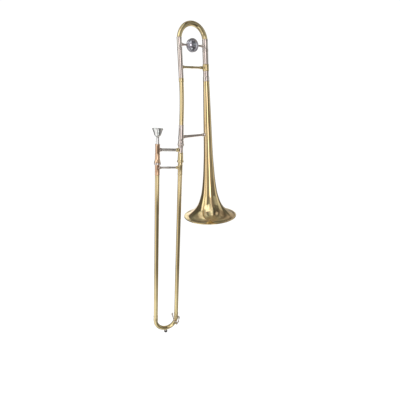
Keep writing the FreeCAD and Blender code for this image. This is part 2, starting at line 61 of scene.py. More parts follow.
# ------------------------------------------------------------------ frames from the CAD
#
# Outlines and places are in millimetres, in one of three frames. neck_frame stands upright at
# the joint between bell section and slide. slide_frame is turned there, so that the slide's
# tubes run along Z at x = 0 and x = SLIDE_WIDTH. bell_frame starts at the corner of the
# neckpipe's bend and leans, so that the bell section's tubes run along Z at x = 0 and
# x = NECK_TO_BELL.

MM = 0.001
BEND_HIGH = 172.5
NECK_TO_BELL = 105.0

neck = Vector(joints["slide_section_swivel"]["pos_m"])
to_mouthpiece = Vector(mounts["mouthpiece_rim"]["pos_m"]) - neck
SLIDE_WIDTH = Vector((to_mouthpiece.x, to_mouthpiece.y)).length / MM
bell_up = Vector(joints["tuning_slide_pull"]["axis"]).normalized()
lean = math.atan2(-bell_up.x, bell_up.z)

neck_frame = Matrix.Translation(neck)
slide_frame = neck_frame @ Matrix.Rotation(math.atan2(to_mouthpiece.y, to_mouthpiece.x), 4, "Z")
bell_frame = Matrix.Translation(neck + Vector((0, 0, BEND_HIGH * MM))) @ Matrix.Rotation(
    -lean, 4, "Y")

# ------------------------------------------------------------------ mesh builders

SHARP_ANGLE = math.radians(35)  # a greater bend between two faces is a crease
WELD_GAP = 2e-6  # in metres, as is the shortest edge
SHORTEST_EDGE = 1e-7
LEAST_CORNER = math.radians(12)  # a smaller bend of an outline isn't rounded
WIDE_CORNER = math.radians(50)  # a greater one is rounded in more steps
CORNER_SHARE = 0.45  # how much of an outline's line one rounded corner may take
ON_AXIS = 0.001
CAP_RINGS = (0.0, 0.33, 0.67)  # rings of a bar's flat end, as shares of its radius


def smooth(mesh):
    """Shade smooth, with creases where two faces meet at a sharp angle."""
    for polygon in mesh.polygons:
        polygon.use_smooth = True
    mesh.set_sharp_from_angle(angle=SHARP_ANGLE)


def make_object(name, verts, faces, matrix):
    """Closed mesh from corners in millimetres: welded, smooth, with its faces outward."""
    mesh = bpy.data.meshes.new(name)
    mesh.from_pydata([Vector(v) * MM for v in verts], [], faces)
    mesh.validate()
    bm = bmesh.new()
    bm.from_mesh(mesh)
    bmesh.ops.remove_doubles(bm, verts=bm.verts, dist=WELD_GAP)
    bmesh.ops.dissolve_degenerate(bm, edges=bm.edges, dist=SHORTEST_EDGE)
    bmesh.ops.recalc_face_normals(bm, faces=bm.faces)
    bm.to_mesh(mesh)
    bm.free()
    smooth(mesh)
    obj = bpy.data.objects.new(name, mesh)
    bpy.context.scene.collection.objects.link(obj)
    obj.matrix_world = matrix
    return obj


def rounded(outline, radius):
    """Round the corners of a closed (radius, height) outline."""
    count = len(outline)
    result = []
    for i, corner in enumerate(outline):
        here = Vector(corner)
        before = Vector(outline[i - 1]) - here
        after = Vector(outline[(i + 1) % count]) - here
        bend = math.pi - before.angle(after, math.pi)
        if bend < LEAST_CORNER or corner[0] <= ON_AXIS:
            result.append(corner)
            continue
        reach = min(radius * math.tan(bend / 2), before.length * CORNER_SHARE,
                    after.length * CORNER_SHARE)
        start = here + before.normalized() * reach
        end = here + after.normalized() * reach
        steps = 4 if bend > WIDE_CORNER else 2
        for step in range(steps + 1):
            t = step / steps
            point = start * (1 - t) ** 2 + here * 2 * t * (1 - t) + end * t ** 2
            result.append((point.x, point.y))
    return result


def spline(points, per):
    """Smooth curve through the points, with per steps from each point to the next."""
    last = len(points) - 1
    result = []
    for i in range(last):
        before, start, end, after = [
            Vector(points[max(0, min(last, j))]) for j in range(i - 1, i + 3)]
        for step in range(per):
            t = step / per
            result.append(0.5 * (
                2 * start + (end - before) * t
                + (2 * before - 5 * start + 4 * end - after) * t ** 2
                + (3 * start - before - 3 * end + after) * t ** 3))
    result.append(Vector(points[last]))
    return [tuple(point) for point in result]


def lathe(name, outline, matrix, x=0.0, round_r=0.4, segments=72, flutes=None):
    """Piece turned about the line x, 0 along local Z, from a closed (radius, height) outline.

    flutes = (count, depth, low, high, least) cuts a grip between the heights low and high,
    where the outline's radius is over least.
    """
    if round_r:
        outline = rounded(outline, round_r)
    verts = []
    faces = []
    count = len(outline)
    for s in range(segments):
        angle = 2 * math.pi * s / segments
        for r, z in outline:
            if flutes:
                number, depth, low, high, least = flutes
                if low < z < high and r > least:
                    r -= depth * (0.5 + 0.5 * math.cos(angle * number)) ** 3
            verts.append((x + r * math.cos(angle), r * math.sin(angle), z))
        here, there = s * count, ((s + 1) % segments) * count
        for i in range(count):
            j = (i + 1) % count
            faces.append((here + i, there + i, there + j, here + j))
    return make_object(name, verts, faces, matrix)


def rod(name, outline, high, matrix, seats=()):
    """Solid bar turned about local X at a height, from its (radius, distance) outline.

    A seat (tube x, tube radius, side) shapes the bar's end to the tube it stands against,
    where side is 1 for a bar that leaves the tube towards +X and -1 towards -X.
    """
    along_x = Matrix.Translation(Vector((0, 0, high * MM))) @ Matrix.Rotation(math.pi / 2, 4, "Y")
    closed = [(outline[0][0] * share, outline[0][1]) for share in CAP_RINGS]
    closed += outline
    closed += [(outline[-1][0] * share, outline[-1][1]) for share in reversed(CAP_RINGS)]
    obj = lathe(name, closed, matrix @ along_x, segments=48)
    for tube_x, tube_r, side in seats:
        for vertex in obj.data.vertices:
            if math.hypot(vertex.co.z - tube_x * MM, vertex.co.y) < tube_r * MM:
                depth = math.sqrt((tube_r * MM) ** 2 - vertex.co.y ** 2)
                vertex.co.z = tube_x * MM + side * depth
    return obj


def pipe(name, path, radii, wall, matrix, segments=48):
    """Tube along a path of points, with an outer radius for each."""
    count = len(path)
    points = [Vector(p) for p in path]
    tangents = [(points[min(i + 1, count - 1)] - points[max(i - 1, 0)]).normalized()
                for i in range(count)]
    side = tangents[0].orthogonal().normalized()
    crosses = []
    for i, tangent in enumerate(tangents):
        if i:
            side = tangents[i - 1].rotation_difference(tangent) @ side
        side = (side - tangent * side.dot(tangent)).normalized()
        crosses.append((side, tangent.cross(side)))
    verts = []
    for inset in (0.0, wall):
        for point, radius, (a, b) in zip(points, radii, crosses):
            for s in range(segments):
                angle = 2 * math.pi * s / segments
                verts.append(point + (radius - inset) * (a * math.cos(angle) + b * math.sin(angle)))
    faces = []
    end = (count - 1) * segments
    inner = count * segments
    for s in range(segments):
        n = (s + 1) % segments
        for skin in (0, inner):
            for ring in range(skin, skin + end, segments):
                faces.append((ring + s, ring + n, ring + segments + n, ring + segments + s))
        for ring in (0, end):
            faces.append((ring + s, ring + n, inner + ring + n, inner + ring + s))
    return make_object(name, verts, faces, matrix)


def half_circle(width, high, steps, up):
    """Points from x = 0 to x = width, round a half circle on a level line; up is 1 or -1."""
    radius = width / 2
    angles = [math.pi * i / steps for i in range(steps + 1)]
    return [(radius - radius * math.cos(angle), 0.0, high + up * radius * math.sin(angle))
            for angle in angles]


def join(base, other):
    """Add another object's mesh to the base object's."""
    bpy.context.view_layer.update()
    mesh = other.data.copy()
    mesh.transform(base.matrix_world.inverted() @ other.matrix_world)
    bm = bmesh.new()
    bm.from_mesh(base.data)
    bm.from_mesh(mesh)
    bm.to_mesh(base.data)
    bm.free()
    bpy.data.objects.remove(other)
    smooth(base.data)
    return base


# ------------------------------------------------------------------ materials


class Graph:
    """Small helper to wire shader nodes."""

    def __init__(self, name):
        self.material = bpy.data.materials.new(name)
        self.material.use_nodes = True
        self.tree = self.material.node_tree
        self.shader = self.tree.nodes["Principled BSDF"]

    def node(self, kind, inputs, **settings):
        """A node with its settings, and its inputs linked or set."""
        made = self.tree.nodes.new(kind)
        for key, value in settings.items():
            setattr(made, key, value)
        for key, value in inputs.items():
            self.feed(made.inputs[key], value)
        return made

    def feed(self, socket, value):
        """Link or set one input."""
        if isinstance(value, bpy.types.NodeSocket):
            self.tree.links.new(value, socket)
        else:
            socket.default_value = value

    def spot(self):
        """The shaded point, in its object's own frame."""
        return self.node("ShaderNodeTexCoord", {}).outputs["Object"]

    def noise(self, scale, stretch=(1, 1, 1), detail=3.0):
        mapped = self.node("ShaderNodeMapping", {"Vector": self.spot(), "Scale": stretch})
        return self.node("ShaderNodeTexNoise", {
            "Vector": mapped.outputs["Vector"], "Scale": scale, "Detail": detail}).outputs["Fac"]

    def ramp(self, value, stops):
        """Colour ramp through (place, colour) stops."""
        ramp = self.node("ShaderNodeValToRGB", {"Fac": value})
        elements = ramp.color_ramp.elements
        while len(elements) < len(stops):
            elements.new(0.5)
        for element, (at, colour) in zip(elements, stops):
            element.position = at
            element.color = (*colour, 1.0)
        return ramp.outputs["Color"]

    def fade(self, value, low, high, start=0.0, end=1.0):
        """From start to end as the value goes from low to high."""
        return self.node("ShaderNodeMapRange", {
            "Value": value, "From Min": low, "From Max": high,
            "To Min": start, "To Max": end}).outputs["Result"]

    def span(self, noise, start, end):
        """From start to end over the middle of a noise, where most of its values lie."""
        return self.fade(noise, 0.3, 0.7, start, end)

    def calc(self, operation, a, b):
        return self.node("ShaderNodeMath", {0: a, 1: b}, operation=operation).outputs["Value"]

    def mix(self, factor, a, b):
        """Colour a, turning into colour b as the factor goes from 0 to 1."""
        return self.node("ShaderNodeMix", {0: factor, 6: a, 7: b}, data_type="RGBA").outputs[2]

    def surface(self, colour, roughness, height, strength, depth):
        """Wire the colour, the roughness and bumps that follow the height."""
        bump = self.node("ShaderNodeBump", {
            "Height": height, "Strength": strength, "Distance": depth})
        self.feed(self.shader.inputs["Base Color"], colour)
        self.feed(self.shader.inputs["Roughness"], roughness)
        self.feed(self.shader.inputs["Normal"], bump.outputs["Normal"])


# Noise scales are in cells per metre. EDGE_RANGE is the Pointiness at which an edge begins to
# look rubbed, and that at which it is fully rubbed.

TINT_SCALE = 14.0
SMUDGE_SCALE = 45.0
POLISH_SCALE = 900.0
POLISH_STRENGTH = 0.015
POLISH_DEPTH = 0.0002
EDGE_RANGE = (0.53, 0.62)
EDGE_ROUGHNESS = 0.12
EDGE_PALENESS = 0.45
LACQUER_ROUGHNESS = 0.02
LACQUER_TINT = (1.0, 0.95, 0.84, 1.0)
MATT_STRENGTH = 0.5
MATT_SPREAD = 0.08


def metal(name, base, shade, rough, haze, lines, lacquer=0.0, grain=(1, 1, 0.06)):
    """Polished metal, whose tint drifts slowly between base and shade.

    Smudges and fine polish lines make it up to haze and lines rougher, and its edges are rubbed
    paler and duller. Lacquer is a clear coat, and grain stretches the polish lines.
    """
    g = Graph(name)
    tint = g.ramp(g.noise(TINT_SCALE, detail=4.0), [(0.30, shade), (0.62, base)])
    smudge = g.noise(SMUDGE_SCALE, detail=6.0)
    polish = g.noise(POLISH_SCALE, grain, 2.0)
    edge = g.node("ShaderNodeNewGeometry", {}).outputs["Pointiness"]
    worn = g.calc("MULTIPLY", g.fade(edge, *EDGE_RANGE), smudge)
    bare = [EDGE_PALENESS * (1 + channel) for channel in base]
    gloss = g.calc("ADD", g.span(smudge, rough, rough + haze), g.span(polish, 0.0, lines))
    rubbed = g.calc("ADD", g.calc("MULTIPLY", worn, EDGE_ROUGHNESS), gloss)
    colour = g.mix(worn, tint, (*bare, 1.0))
    g.surface(colour, rubbed, polish, POLISH_STRENGTH, POLISH_DEPTH)
    g.feed(g.shader.inputs["Metallic"], 1.0)
    g.feed(g.shader.inputs["Coat Weight"], lacquer)
    g.feed(g.shader.inputs["Coat Roughness"], LACQUER_ROUGHNESS)
    g.feed(g.shader.inputs["Coat Tint"], LACQUER_TINT)
    return g.material


def matt(name, dark, light, scale, rough, depth, cells=False):
    """Matt material of two shades, in speckles or cells that also make its bumps."""
    g = Graph(name)
    if cells:
        speckle = g.node("ShaderNodeTexVoronoi", {
            "Vector": g.spot(), "Scale": scale}).outputs["Distance"]
    else:
        speckle = g.noise(scale, detail=6.0)
    colour = g.ramp(speckle, [(0.2, dark), (0.7, light)])
    gloss = g.span(speckle, rough - MATT_SPREAD, rough + MATT_SPREAD)
    g.surface(colour, gloss, speckle, MATT_STRENGTH, depth)
    return g.material


BRASS = metal("lacquered_brass", (0.89, 0.76, 0.47), (0.80, 0.66, 0.37), 0.04, 0.04, 0.02,
              lacquer=0.2)
BELL_BRASS = metal("bell_brass", (0.90, 0.74, 0.45), (0.82, 0.64, 0.35), 0.03, 0.03, 0.02,
                   lacquer=0.2, grain=(0.05, 0.05, 1.0))
ROSE = metal("rose_brass", (0.96, 0.69, 0.50), (0.88, 0.58, 0.40), 0.05, 0.04, 0.02,
             lacquer=0.2)
NICKEL = metal("nickel_silver", (0.84, 0.76, 0.74), (0.74, 0.66, 0.64), 0.05, 0.04, 0.02)
SATIN = metal("satin_nickel", (0.88, 0.84, 0.82), (0.78, 0.74, 0.73), 0.26, 0.08, 0.05)
BLUED = metal("blued_nickel", (0.70, 0.71, 0.82), (0.56, 0.57, 0.68), 0.07, 0.06, 0.03)
SILVER = metal("silver_plate", (0.91, 0.93, 0.97), (0.83, 0.85, 0.89), 0.04, 0.04, 0.02)
CHROME = metal("chrome_plate", (0.80, 0.81, 0.83), (0.74, 0.75, 0.78), 0.03, 0.03, 0.02)
STEEL = metal("steel", (0.62, 0.62, 0.63), (0.50, 0.50, 0.51), 0.2, 0.1, 0.08)
RUBBER = matt("black_rubber", (0.012, 0.012, 0.012), (0.035, 0.033, 0.032), 700.0, 0.62, 0.0001)
CORK = matt("cork", (0.30, 0.17, 0.09), (0.62, 0.44, 0.27), 900.0, 0.85, 0.0003, cells=True)
FELT = matt("felt", (0.01, 0.01, 0.01), (0.05, 0.05, 0.05), 1500.0, 0.95, 0.0003)


def paint(obj, material):
    obj.data.materials.clear()
    obj.data.materials.append(material)


def place(obj, body, material, node):
    """Give a piece its material and its body, and hide the CAD node that it stands for."""
    paint(obj, material)
    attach(obj, body)
    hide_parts(node)


def tube(name, inner, outer, low, high, matrix, x):
    """Straight tube between two heights, about the line x, 0."""
    return lathe(name, [(inner, low), (outer, low), (outer, high), (inner, high)], matrix, x)


# ------------------------------------------------------------------ bell
#
# One thin spun wall, whose edge is rolled outward round a wire.

RIM_LOW = -466.0
RIM_R = 105.0
ROLL_R = 2.0
BELL_WALL = 0.65

bell_outside = spline([(r, RIM_LOW + up) for r, up in (
    (11.0, 524.0), (11.8, 495.0), (13.1, 445.0), (14.5, 385.0), (16.2, 310.0), (18.0, 247.0),
    (20.8, 200.0), (24.4, 152.0), (30.6, 103.0), (36.8, 77.0), (45.0, 53.0), (54.5, 36.0),
    (65.5, 23.5), (78.5, 13.0), (91.5, 5.5), (103.6, 1.7))], 8)
rim_roll = [
    (RIM_R + ROLL_R * math.cos(math.radians(a)), RIM_LOW + ROLL_R * math.sin(math.radians(a)))
    for a in range(110, -190, -20)]
bell_inside = []
for i, (r, z) in enumerate(bell_outside):
    before = Vector(bell_outside[max(i - 1, 0)])
    after = Vector(bell_outside[min(i + 1, len(bell_outside) - 1)])
    along = (after - before).normalized()
    bell_inside.append((r - BELL_WALL * abs(along.y), z - BELL_WALL * abs(along.x)))
bell_inside.reverse()
place(lathe("bell_flare", bell_outside + rim_roll + bell_inside[1:], bell_frame, NECK_TO_BELL,
            round_r=0, segments=160), "bell_section", BELL_BRASS, "bell")

# ------------------------------------------------------------------ neckpipe and tuning sleeves

NECK_SLEEVE_R = 8.35
BELL_SLEEVE_R = 10.15
NECKPIPE_R = 7.75
NECKPIPE_WALL = 0.8
NECKPIPE_END = 75.8
BEND_REACH = 60.0
BEND_STEPS = 16

for side, x, bore, r, low in (("neck", 0.0, NECKPIPE_R, NECK_SLEEVE_R, 60.0),
                              ("bell", NECK_TO_BELL, 9.35, BELL_SLEEVE_R, 58.2)):
    sleeve = lathe(side + "_tuning_sleeve_tube", [
        (bore, low), (r, low), (r, 149.4), (r + 0.2, 150.0), (r + 0.65, 150.9),
        (r + 0.65, 152.4), (r + 0.2, 153.3), (bore, 153.5)], bell_frame, x)
    place(sleeve, "bell_section", NICKEL, side + "_tuning_sleeve")

place(lathe("neck_sleeve_ring", [
    (7.8, 48.0), (8.2, 48.0), (8.9, 49.0), (9.05, 50.4), (8.7, 51.4), (8.7, 56.6), (9.05, 57.6),
    (9.0, 59.0), (8.6, 59.9), (7.8, 59.9)], bell_frame),
    "bell_section", BRASS, "neck_tuning_ferrule")
place(lathe("bell_sleeve_ring", [
    (11.2, 50.0), (11.9, 50.0), (12.1, 51.0), (11.9, 52.4), (11.5, 53.2), (11.4, 65.4),
    (11.1, 67.2), (10.2, 68.0), (10.2, 59.0), (11.1, 57.6)], bell_frame, NECK_TO_BELL),
    "bell_section", NICKEL, "bell_tuning_ferrule")

bend_r = BEND_REACH / math.tan(lean / 2)
neckpipe_path = [(0, 0, z) for z in (22.0, 60.0, 95.0)]
for i in range(BEND_STEPS + 1):
    angle = lean * i / BEND_STEPS
    neckpipe_path.append((bend_r * (math.cos(angle) - 1), 0,
                          BEND_HIGH - BEND_REACH + bend_r * math.sin(angle)))
neckpipe_end = neck_frame.inverted() @ bell_frame @ Vector((0, 0, NECKPIPE_END * MM))
neckpipe_path.append(tuple(neckpipe_end / MM))
place(pipe("neckpipe_tube", neckpipe_path, [NECKPIPE_R] * len(neckpipe_path), NECKPIPE_WALL,
           neck_frame), "bell_section", BRASS, "neckpipe")
place(lathe("neck_tenon_cone", [
    (7.8, 75.0), (8.4, 75.0), (8.9, 73.8), (8.9, 72.4), (8.6, 71.6), (9.2, 44.0), (9.9, 26.0),
    (10.1, 24.8), (9.7, 23.2), (8.66, 22.0), (8.66, 16.8), (9.6, 16.8), (9.6, 12.0),
    (7.95, 12.0), (7.65, -24.0), (6.95, -24.0), (6.95, 22.0), (7.8, 22.0)], neck_frame),
    "bell_section", NICKEL, "neck_tenon")

# ------------------------------------------------------------------ bell braces
#
# Each has a bar, a foot on the neck side and a socket on the bell side. The lower one stands
# below the bend, so its foot is where the upright tenon crosses the leaning frame.

UPPER_BRACE = 96.5
LOWER_BRACE = -139.0
tenon_x = LOWER_BRACE * math.sin(lean)

place(rod("upper_bell_brace_rod", [
    (3.75, 10.0), (3.75, 40.0), (4.2, 44.0), (4.2, 48.0), (3.75, 52.0), (3.75, 84.0)],
    UPPER_BRACE, bell_frame), "bell_section", BRASS, "upper_bell_brace")
place(rod("upper_brace_neck_foot_cup", [
    (6.0, 6.4), (6.0, 9.4), (5.4, 10.0), (4.9, 11.0), (4.8, 13.6), (3.9, 14.8)],
    UPPER_BRACE, bell_frame, [(0.0, 8.1, 1)]), "bell_section", BRASS, "upper_brace_neck_foot")
socket = rod("upper_brace_bell_socket_cup", [
    (3.9, 78.0), (4.8, 79.0), (5.0, 80.2), (5.0, 89.6), (5.5, 91.0), (6.4, 92.2), (6.4, 95.2)],
    UPPER_BRACE, bell_frame, [(NECK_TO_BELL, 10.6, -1)])
collar = lathe("collar", [
    (10.2, 85.0), (10.7, 85.0), (11.25, 86.0), (11.35, 87.2), (11.1, 88.2), (11.1, 104.8),
    (11.35, 105.8), (11.25, 107.0), (10.7, 108.0), (10.2, 108.0)], bell_frame, NECK_TO_BELL)
place(join(socket, collar), "bell_section", BRASS, "upper_brace_bell_socket")

place(rod("lower_bell_brace_rod", [
    (5.2, tenon_x + 15.0), (5.2, tenon_x + 23.0), (4.9, 24.0), (4.5, 50.0), (4.1, 78.0),
    (4.1, 84.0)], LOWER_BRACE, bell_frame), "bell_section", NICKEL, "lower_bell_brace")
place(rod("lower_brace_neck_foot_cup", [
    (6.4, tenon_x + 8.0), (6.4, tenon_x + 12.2), (5.8, tenon_x + 13.6), (5.9, tenon_x + 20.0),
    (5.3, tenon_x + 21.8)], LOWER_BRACE, bell_frame, [(tenon_x, 9.2, 1)]),
    "bell_section", NICKEL, "lower_brace_neck_foot")
place(rod("lower_brace_bell_socket_cup", [
    (4.2, 77.0), (5.2, 78.0), (5.4, 79.4), (5.4, 84.6), (6.3, 86.4), (7.5, 88.0), (7.5, 91.0)],
    LOWER_BRACE, bell_frame, [(NECK_TO_BELL, 15.4, -1)]),
    "bell_section", NICKEL, "lower_brace_bell_socket")

# ------------------------------------------------------------------ tuning slide

NECK_LEG_R = 7.7
BELL_LEG_R = 9.3
LEG_WALL = 0.7
LEG_HIGH = 176.5
BOW_HIGH = 182.0
BOW_STEPS = 48

bow_path = half_circle(NECK_TO_BELL, BOW_HIGH, BOW_STEPS, 1)
bow_radii = [NECK_LEG_R + (BELL_LEG_R - NECK_LEG_R) * i / BOW_STEPS for i in range(BOW_STEPS + 1)]
place(pipe("tuning_bow_tube", [(0, 0, LEG_HIGH), *bow_path, (NECK_TO_BELL, 0, LEG_HIGH)],
           [NECK_LEG_R, *bow_radii, BELL_LEG_R], LEG_WALL, bell_frame, 56),
      "tuning_slide", BRASS, "tuning_bow")
for side, x, leg_r, r, low in (("neck", 0.0, NECK_LEG_R, NECK_SLEEVE_R, 82.0),
                               ("bell", NECK_TO_BELL, BELL_LEG_R, BELL_SLEEVE_R, 80.0)):
    place(tube(side + "_tuning_leg", leg_r - LEG_WALL, leg_r, low, LEG_HIGH, bell_frame, x),
          "tuning_slide", NICKEL, side + "_side_tuning_leg")
    ferrule = lathe(side + "_bow_ferrule_tube", [
        (leg_r + 0.02, 154.2), (r, 154.2), (r + 0.5, 155.0), (r + 0.5, 156.4), (r, 157.4),
        (r, 185.0), (r + 0.35, 186.0), (r + 0.35, 188.0), (leg_r + 0.4, 189.4),
        (leg_r + 0.4, 184.0), (leg_r + 0.02, 182.0)], bell_frame, x)
    place(ferrule, "tuning_slide", NICKEL, side + "_side_bow_ferrule")

# The counterweight's halves are domed discs on the front and back of the brace's middle.

TUNING_BRACE = 167.0
WEIGHT_X = NECK_TO_BELL / 2 - 1.0
WEIGHT_R = 22.0

place(rod("tuning_brace_rod", [
    (6.2, 7.4), (6.2, 9.2), (5.2, 10.0), (4.5, 11.0), (4.3, 15.0), (3.2, 16.5), (3.2, 87.0),
    (4.3, 88.5), (4.5, 92.0), (5.2, 93.2), (6.2, 94.2), (6.2, 96.4)], TUNING_BRACE, bell_frame,
    [(0.0, 8.0, 1), (NECK_TO_BELL, 9.7, -1)]), "tuning_slide", NICKEL, "tuning_brace")
weight_dome = spline([
    (16.6, 7.9), (15.0, 9.2), (12.0, 10.9), (9.0, 12.1), (6.0, 12.9), (3.0, 13.35),
    (0.0, 13.5)], 4)
weight_outline = [(0.0, 0.4)] + [(WEIGHT_R - inset, z) for inset, z in (
    (1.2, 0.4), (0.0, 1.6), (0.0, 4.4), (0.3, 5.4), (1.2, 6.4), (2.4, 6.9), (3.6, 6.9),
    (4.4, 6.5), (5.0, 6.9))] + weight_dome
weight_frame = bell_frame @ Matrix.Translation(Vector((WEIGHT_X, 0, TUNING_BRACE)) * MM)
for side, turn in (("front", 90.0), ("back", -90.0)):
    half = lathe("counterweight_" + side + "_half", weight_outline,
                 weight_frame @ Matrix.Rotation(math.radians(turn), 4, "X"),
                 round_r=0.5, segments=96)
    place(half, "tuning_slide", BLUED, "counterweight_" + side)

# ------------------------------------------------------------------ lock nut

place(lathe("lock_nut_body", [
    (8.72, 20.8), (9.5, 20.8), (9.9, 19.8), (10.0, 18.6), (10.3, 15.0), (10.8, 10.0),
    (11.2, 8.2), (11.8, 7.4), (12.0, 6.2), (12.0, 4.0), (11.7, 3.0), (11.0, 2.2), (9.68, 2.2),
    (9.68, 16.9), (8.72, 16.9)], neck_frame, round_r=0.3, segments=240,
    flutes=(40, 0.5, 3.4, 7.0, 11.5)), "lock_nut", NICKEL, "bell_lock_nut")

# ------------------------------------------------------------------ inner slide

INNER_BORE = 6.95
INNER_R = 7.45
INNER_LOW = -565.0
STOCKING_R = 7.55
STOCKING_LOW = -690.0
HAND_BRACE = -14.0

place(lathe("slide_receiver_body", [
    (8.0, 11.9), (9.5, 11.9), (9.6, 11.0), (9.6, 0.6), (9.1, -0.4), (8.8, -1.6), (8.8, -3.6),
    (8.5, -4.6), (8.5, -20.0), (8.7, -21.0), (8.7, -36.0),
    (7.45, -36.0), (7.45, -26.0), (7.7, -25.0)], slide_frame),
    "inner_slide", NICKEL, "slide_receiver")
place(lathe("neck_barrel", [
    (8.72, -23.2), (9.1, -23.2), (9.4, -24.4), (9.4, -25.6), (9.2, -26.6), (9.7, -40.0),
    (10.2, -50.0), (10.6, -52.2), (11.6, -53.0), (12.2, -54.4), (12.2, -57.6), (11.6, -58.9),
    (10.8, -59.0), (8.7, -59.0), (8.7, -43.0), (8.72, -36.0)], slide_frame),
    "inner_slide", BRASS, "neck_side_cork_barrel")
place(lathe("mouthpiece_receiver_body", [
    (6.2, 6.0), (8.0, 6.0), (8.8, 5.2), (9.0, 3.6), (8.8, 1.8), (8.2, 0.6), (8.2, -27.0),
    (7.6, -27.0), (7.5, -33.0), (7.45, -27.0), (5.7, -27.0)], slide_frame, SLIDE_WIDTH),
    "inner_slide", ROSE, "mouthpiece_receiver")
place(lathe("mouthpiece_barrel", [
    (8.3, -27.5), (8.6, -27.5), (8.9, -28.6), (8.9, -30.0), (8.6, -31.0), (8.8, -48.0),
    (9.6, -51.0), (10.8, -56.0), (11.8, -60.1), (9.6, -60.1), (9.6, -67.0), (8.7, -67.0),
    (8.7, -43.0), (8.4, -33.0)], slide_frame, SLIDE_WIDTH),
    "inner_slide", ROSE, "mouthpiece_side_cork_barrel")

for side, x, high in (("neck", 0.0, -26.5), ("mouthpiece", SLIDE_WIDTH, -27.5)):
    place(tube(side + "_inner_slide_tube", INNER_BORE, INNER_R, INNER_LOW, high, slide_frame, x),
          "inner_slide", CHROME, side + "_side_inner_tube")
    stocking = lathe(side + "_stocking_tube", [
        (INNER_BORE, STOCKING_LOW), (STOCKING_R - 0.15, STOCKING_LOW),
        (STOCKING_R, STOCKING_LOW + 1.0), (STOCKING_R, INNER_LOW - 1.4), (INNER_R, INNER_LOW),
        (INNER_BORE, INNER_LOW)], slide_frame, x)
    place(stocking, "inner_slide", CHROME, side + "_side_stocking")

place(rod("upper_hand_brace_bar", [
    (5.4, 13.0), (5.4, 30.0), (5.5, 43.0), (5.4, 56.0), (5.4, SLIDE_WIDTH - 12.0)],
    HAND_BRACE, slide_frame), "inner_slide", SATIN, "upper_hand_brace")
place(rod("hand_brace_neck_cup", [
    (8.0, 5.6), (8.0, 9.6), (7.2, 10.8), (6.7, 12.0), (6.7, 16.0), (5.6, 17.4)],
    HAND_BRACE, slide_frame, [(0.0, 8.4, 1)]), "inner_slide", BRASS, "hand_brace_neck_flange")
place(rod("hand_brace_mouth_cup", [
    (5.6, SLIDE_WIDTH - 15.4), (6.3, SLIDE_WIDTH - 14.4), (6.5, SLIDE_WIDTH - 11.0),
    (7.6, SLIDE_WIDTH - 9.6), (7.6, SLIDE_WIDTH - 5.6)],
    HAND_BRACE, slide_frame, [(SLIDE_WIDTH, 8.1, -1)]),
    "inner_slide", NICKEL, "hand_brace_mouthpiece_flange")

# ------------------------------------------------------------------ mouthpiece

cup_outside = spline([
    (17.6, 61.25), (18.7, 60.4), (19.25, 59.0), (19.2, 57.2), (18.3, 55.6), (17.0, 53.4),
    (15.0, 48.0), (13.3, 42.5), (11.6, 37.6), (9.4, 34.2), (6.9, 32.2), (5.6, 30.0),
    (5.25, 26.0), (5.5, 18.0), (5.9, 11.0), (6.0, 8.0)], 4)
shank_outside = [(6.0, 6.5), (5.55, -26.0)]
bore_and_cup = spline([
    (5.1, -26.0), (4.2, 0.0), (3.3, 25.0), (3.15, 31.5), (3.7, 34.6), (6.0, 37.8),
    (8.8, 42.6), (11.0, 49.0), (12.3, 55.6), (12.75, 59.4), (13.4, 60.8), (15.2, 61.4),
    (16.5, 61.42)], 4)
place(lathe("mouthpiece_body", cup_outside + shank_outside + bore_and_cup, slide_frame,
            SLIDE_WIDTH, round_r=0, segments=96), "mouthpiece", SILVER, "mouthpiece")

# ------------------------------------------------------------------ outer slide

OUTER_BORE = 7.62
OUTER_R = 8.05
OUTER_HIGH = -49.4
CROOK_HIGH = -708.0
CROOK_WALL = 0.6
CROOK_STEPS = 48
OUTER_BRACE = -78.5
CATCH_PIN_HIGH = -75.6

for side, x in (("neck", 0.0), ("mouthpiece", SLIDE_WIDTH)):
    place(tube(side + "_outer_slide_tube", OUTER_BORE, OUTER_R, CROOK_HIGH, OUTER_HIGH,
               slide_frame, x), "outer_slide", BRASS, side + "_side_outer_tube")
    place(lathe(side + "_crook_ring", [
        (8.1, -686.4), (8.6, -687.0), (8.9, -688.0), (8.9, -689.6), (8.6, -690.6),
        (8.6, -703.4), (8.9, -704.4), (8.9, -706.2), (8.5, -707.6), (8.1, CROOK_HIGH)],
        slide_frame, x), "outer_slide", BRASS, side + "_side_crook_ferrule")

top_sleeve_outline = [
    (8.05, -49.0), (8.4, -49.0), (8.4, -67.2), (8.9, -68.0), (9.15, -68.9), (9.05, -70.4),
    (8.6, -71.4), (8.6, -103.0), (8.9, -104.0), (8.7, -105.6), (8.05, -106.4)]
place(lathe("neck_top_sleeve_tube", top_sleeve_outline, slide_frame),
      "outer_slide", BRASS, "neck_side_top_sleeve")
mouth_sleeve = lathe("mouth_top_sleeve_tube", top_sleeve_outline, slide_frame, SLIDE_WIDTH)
pin_frame = slide_frame @ Matrix.Translation(
    Vector((SLIDE_WIDTH + 4.6, 0, CATCH_PIN_HIGH)) * MM) @ Matrix.Rotation(-math.pi / 2, 4, "X")
catch_pin = lathe("catch_pin", [(0.0, 6.8), (1.3, 6.8), (1.3, 11.8), (0.9, 12.3), (0.0, 12.4)],
                  pin_frame, segments=24)
place(join(mouth_sleeve, catch_pin), "outer_slide", ROSE, "mouthpiece_side_top_sleeve")

